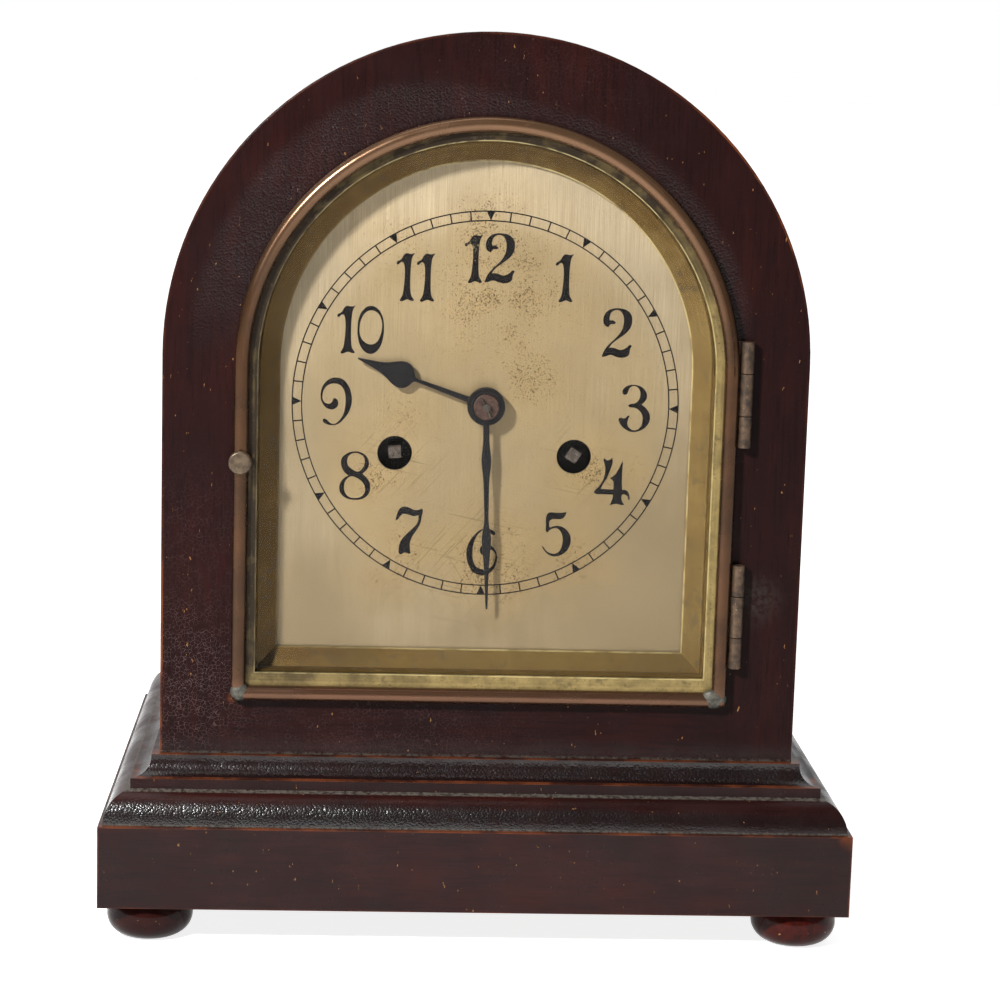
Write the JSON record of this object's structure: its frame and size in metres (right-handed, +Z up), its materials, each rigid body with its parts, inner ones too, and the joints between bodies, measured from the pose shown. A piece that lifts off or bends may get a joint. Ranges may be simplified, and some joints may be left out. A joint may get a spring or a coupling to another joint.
{
  "type": "mantel clock",
  "caption": "Arch-top wooden mantel clock with a hinged glazed door, numbered dial, spring-driven movement, pendulum, gong and bun feet.",
  "frame": {"origin": "centre of the footprint, on the surface the feet stand on", "axes": "+Z up, -Y towards the viewer of the dial, +X to the viewer's right"},
  "size_m": [0.24, 0.174, 0.2892],
  "materials": {
    "mahogany": "dark crazed varnish",
    "case_wood": "oiled",
    "foot_wood": "polished turned wood",
    "oak": "plain sawn",
    "bezel_copper": "worn, copper-brown",
    "door_brass": "tarnished",
    "dial_silver": "silvered, spotted",
    "bright_brass": "satin",
    "spring_brass": "turned",
    "blued_steel": "blackened",
    "steel": "polished",
    "copper": "worn",
    "hinge_brass": "brown patina",
    "glass": "clear",
    "gong_steel": "blued",
    "iron": "black lacquer"
  },
  "bodies": {
    "case": {"foot_front_left": "foot_wood", "foot_front_right": "foot_wood", "foot_rear_left": "foot_wood", "foot_rear_right": "foot_wood", "foot_screws": "steel", "plinth_front": "mahogany", "plinth_left": "mahogany", "plinth_right": "mahogany", "plinth_back": "case_wood", "moulding_front": "mahogany", "moulding_left": "mahogany", "moulding_right": "mahogany", "base_board": "oak", "front_board": "mahogany", "case_shell": "mahogany", "back_frame": "case_wood", "seat_board": "oak", "rear_hinge_fixed": "hinge_brass", "hinge_case_leaves": "hinge_brass", "hinge_pins": "steel", "hinge_screws": "hinge_brass", "dial_plate": "dial_silver", "dial_feet": "bright_brass", "front_plate": "bright_brass", "back_plate": "bright_brass", "plate_pillars": "bright_brass", "pillar_nuts": "steel", "pendulum_cock": "bright_brass", "gong_coil": "gong_steel", "gong_post": "iron"},
    "door": {"door_bezel": "bezel_copper", "door_flange": "door_brass", "door_glass": "glass", "door_reveal": "door_brass", "hinge_door_leaves": "hinge_brass"},
    "door_knob": {"door_knob": "bezel_copper"},
    "rear_door": {"rear_door": "mahogany", "rear_hinge_straps": "hinge_brass"},
    "rear_latch": {"rear_latch": "hinge_brass"},
    "minute": {"cannon_pinion": "steel", "minute_hand": "blued_steel"},
    "hour": {"hour_wheel": "bright_brass", "hour_hand": "blued_steel"},
    "motion": {"minute_wheel": "bright_brass"},
    "centre": {"centre_arbor": "steel", "hand_collar": "copper", "taper_pin": "steel"},
    "third": {"third_wheel": "bright_brass"},
    "escape": {"escape_wheel": "bright_brass"},
    "going_barrel": {"going_barrel": "spring_brass"},
    "going_winder": {"going_winder": "steel"},
    "going_click": {"going_click": "steel"},
    "strike_barrel": {"strike_barrel": "spring_brass"},
    "strike_winder": {"strike_winder": "steel"},
    "strike_click": {"strike_click": "steel"},
    "pin_wheel": {"pin_wheel": "bright_brass"},
    "pendulum": {"anchor": "steel", "pendulum_rod": "steel", "pendulum_bob": "bright_brass"},
    "hammer": {"hammer": "steel"}
  },
  "joints": [
    {"name": "door_hinge", "type": "hinge", "parent": "case", "child": "door", "pos_m": [0.0817, -0.0713, 0.1428], "axis": [0, 0, 1], "range_deg": [0, 115]},
    {"name": "door_knob_turn", "type": "hinge", "parent": "door", "child": "door_knob", "pos_m": [-0.07705, -0.074, 0.1541], "axis": [0, -1, 0], "range_deg": [0, 90]},
    {"name": "rear_door_hinge", "type": "hinge", "parent": "case", "child": "rear_door", "pos_m": [-0.0907, 0.0844, 0.1375], "axis": [0, 0, 1], "range_deg": [0, 110]},
    {"name": "rear_latch_turn", "type": "hinge", "parent": "rear_door", "child": "rear_latch", "pos_m": [0.075, 0.084, 0.14], "axis": [0, 1, 0], "range_deg": [0, 90]},
    {"name": "minute_hand_turn", "type": "hinge", "parent": "case", "child": "minute", "pos_m": [0, -0.06, 0.172], "axis": [0, -1, 0], "continuous": true},
    {"name": "hour_hand_turn", "type": "hinge", "parent": "case", "child": "hour", "pos_m": [0, -0.06, 0.172], "axis": [0, -1, 0], "continuous": true},
    {"name": "minute_wheel_turn", "type": "hinge", "parent": "case", "child": "motion", "pos_m": [0, -0.05, 0.187], "axis": [0, -1, 0], "continuous": true},
    {"name": "third_wheel_turn", "type": "hinge", "parent": "case", "child": "third", "pos_m": [-0.014, -0.03, 0.1888], "axis": [0, -1, 0], "continuous": true},
    {"name": "centre_wheel_turn", "type": "hinge", "parent": "case", "child": "centre", "pos_m": [0, -0.03, 0.172], "axis": [0, -1, 0], "continuous": true},
    {"name": "escape_wheel_turn", "type": "hinge", "parent": "case", "child": "escape", "pos_m": [0, -0.03, 0.20229], "axis": [0, -1, 0], "continuous": true},
    {"name": "going_barrel_turn", "type": "hinge", "parent": "case", "child": "going_barrel", "pos_m": [-0.0287, -0.03, 0.1559], "axis": [0, -1, 0], "continuous": true},
    {"name": "going_winding", "type": "hinge", "parent": "case", "child": "going_winder", "pos_m": [-0.0287, -0.03, 0.1559], "axis": [0, -1, 0], "continuous": true},
    {"name": "strike_barrel_turn", "type": "hinge", "parent": "case", "child": "strike_barrel", "pos_m": [0.0287, -0.03, 0.1559], "axis": [0, -1, 0], "continuous": true},
    {"name": "pin_wheel_turn", "type": "hinge", "parent": "case", "child": "pin_wheel", "pos_m": [0.03393, -0.03, 0.18557], "axis": [0, -1, 0], "continuous": true},
    {"name": "strike_winding", "type": "hinge", "parent": "case", "child": "strike_winder", "pos_m": [0.0287, -0.03, 0.1559], "axis": [0, -1, 0], "continuous": true},
    {"name": "going_click_lift", "type": "hinge", "parent": "case", "child": "going_click", "pos_m": [-0.0207, -0.048, 0.1699], "axis": [0, 1, 0], "range_deg": [0, 10]},
    {"name": "strike_click_lift", "type": "hinge", "parent": "case", "child": "strike_click", "pos_m": [0.0367, -0.048, 0.1699], "axis": [0, 1, 0], "range_deg": [0, 10]},
    {"name": "pendulum_swing", "type": "hinge", "parent": "case", "child": "pendulum", "pos_m": [0, 0, 0.22129], "axis": [0, -1, 0], "range_deg": [-3, 3]},
    {"name": "hammer_lift", "type": "hinge", "parent": "case", "child": "hammer", "pos_m": [0.05, -0.03, 0.194], "axis": [0, -1, 0], "range_deg": [0, 12]}
  ],
  "couplings": [
    {"joint": "hour_hand_turn", "follows": "minute_hand_turn", "ratio": 0.083333},
    {"joint": "minute_wheel_turn", "follows": "minute_hand_turn", "ratio": -0.33333},
    {"joint": "centre_wheel_turn", "follows": "third_wheel_turn", "ratio": -0.083333},
    {"joint": "going_barrel_turn", "follows": "third_wheel_turn", "ratio": 0.0069444},
    {"joint": "escape_wheel_turn", "follows": "third_wheel_turn", "ratio": -12.5},
    {"joint": "pin_wheel_turn", "follows": "strike_barrel_turn", "ratio": -10.5}
  ]
}
